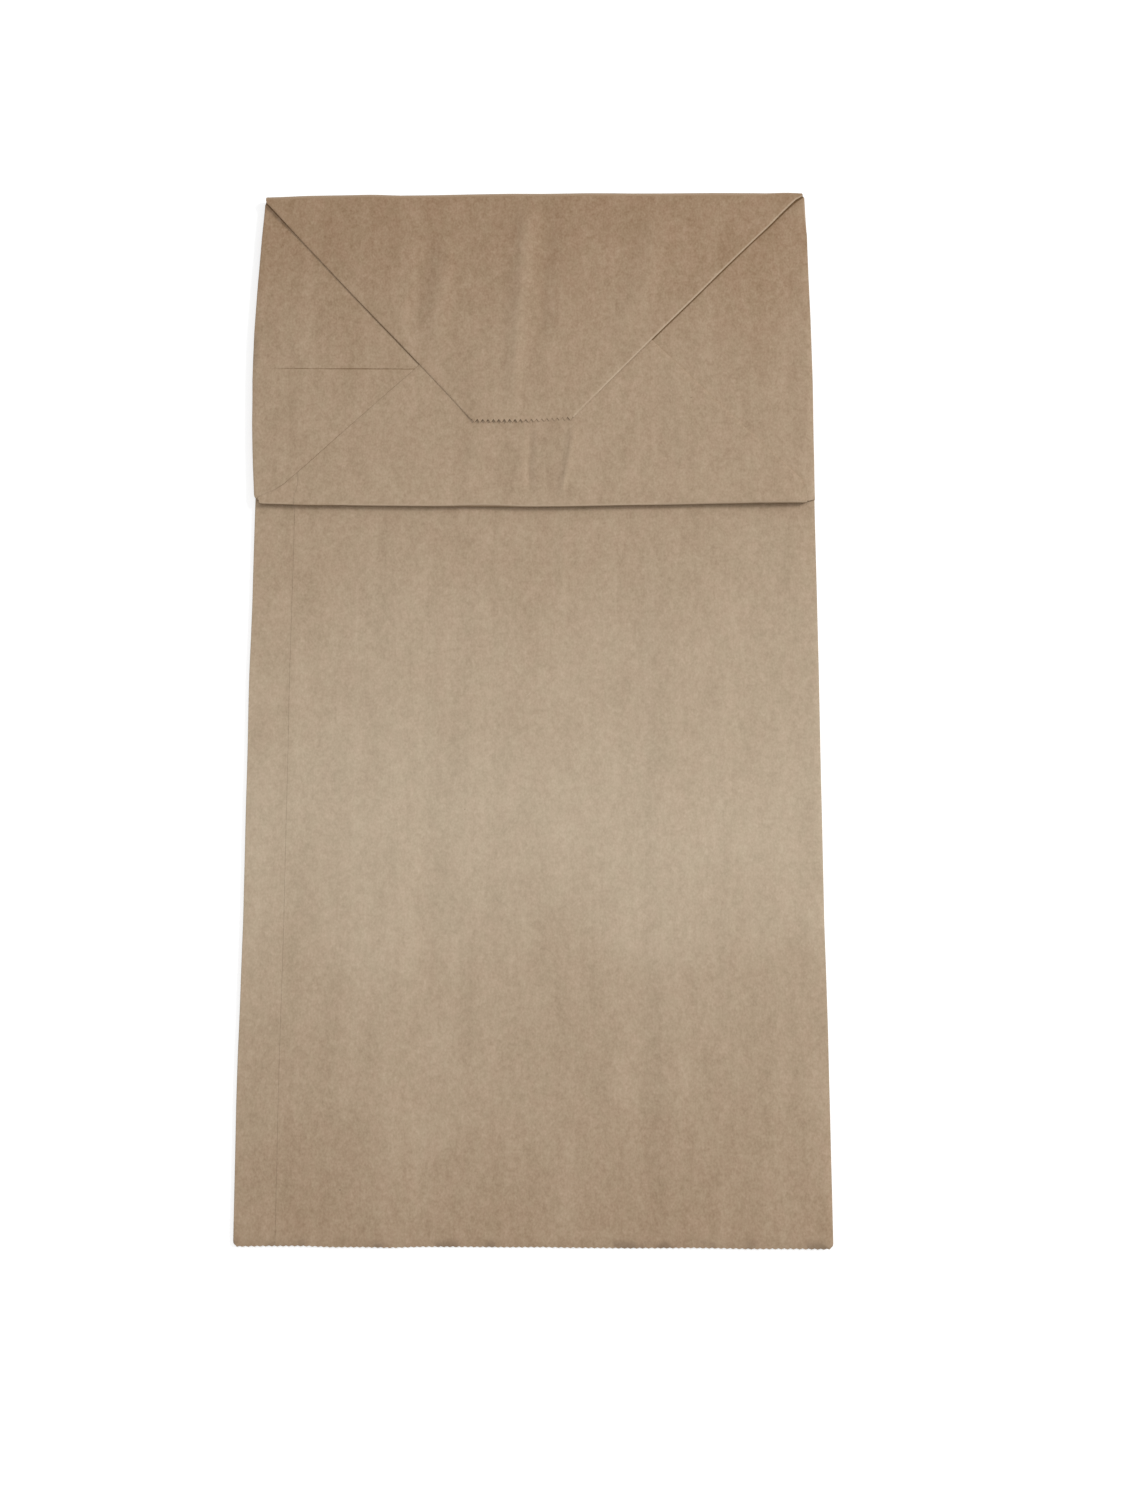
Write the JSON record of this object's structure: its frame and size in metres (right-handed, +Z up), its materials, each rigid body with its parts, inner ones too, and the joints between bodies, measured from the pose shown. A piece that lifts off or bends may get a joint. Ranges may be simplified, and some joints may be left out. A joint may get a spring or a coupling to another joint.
{
  "type": "kraft paper bag",
  "caption": "Plain brown block-bottom paper bag, folded flat, with tucked-in side gussets, a mitred bottom folded up over the front and serrated cut edges.",
  "frame": {"origin": "middle of the folded bag's outline, on the underside of the back panel", "axes": "+Z up, out of the front panel; +Y along the bag from its open mouth to its bottom fold; +X to the right as the front is looked at with the mouth nearest"},
  "size_m": [0.2434, 0.4495, 0.0043],
  "materials": {
    "kraft_paper": "matt unbleached kraft paper with a cloudy fibre pattern and small dark flecks"
  },
  "bodies": {
    "root": {"paper_bag": "kraft_paper"}
  },
  "joints": []
}
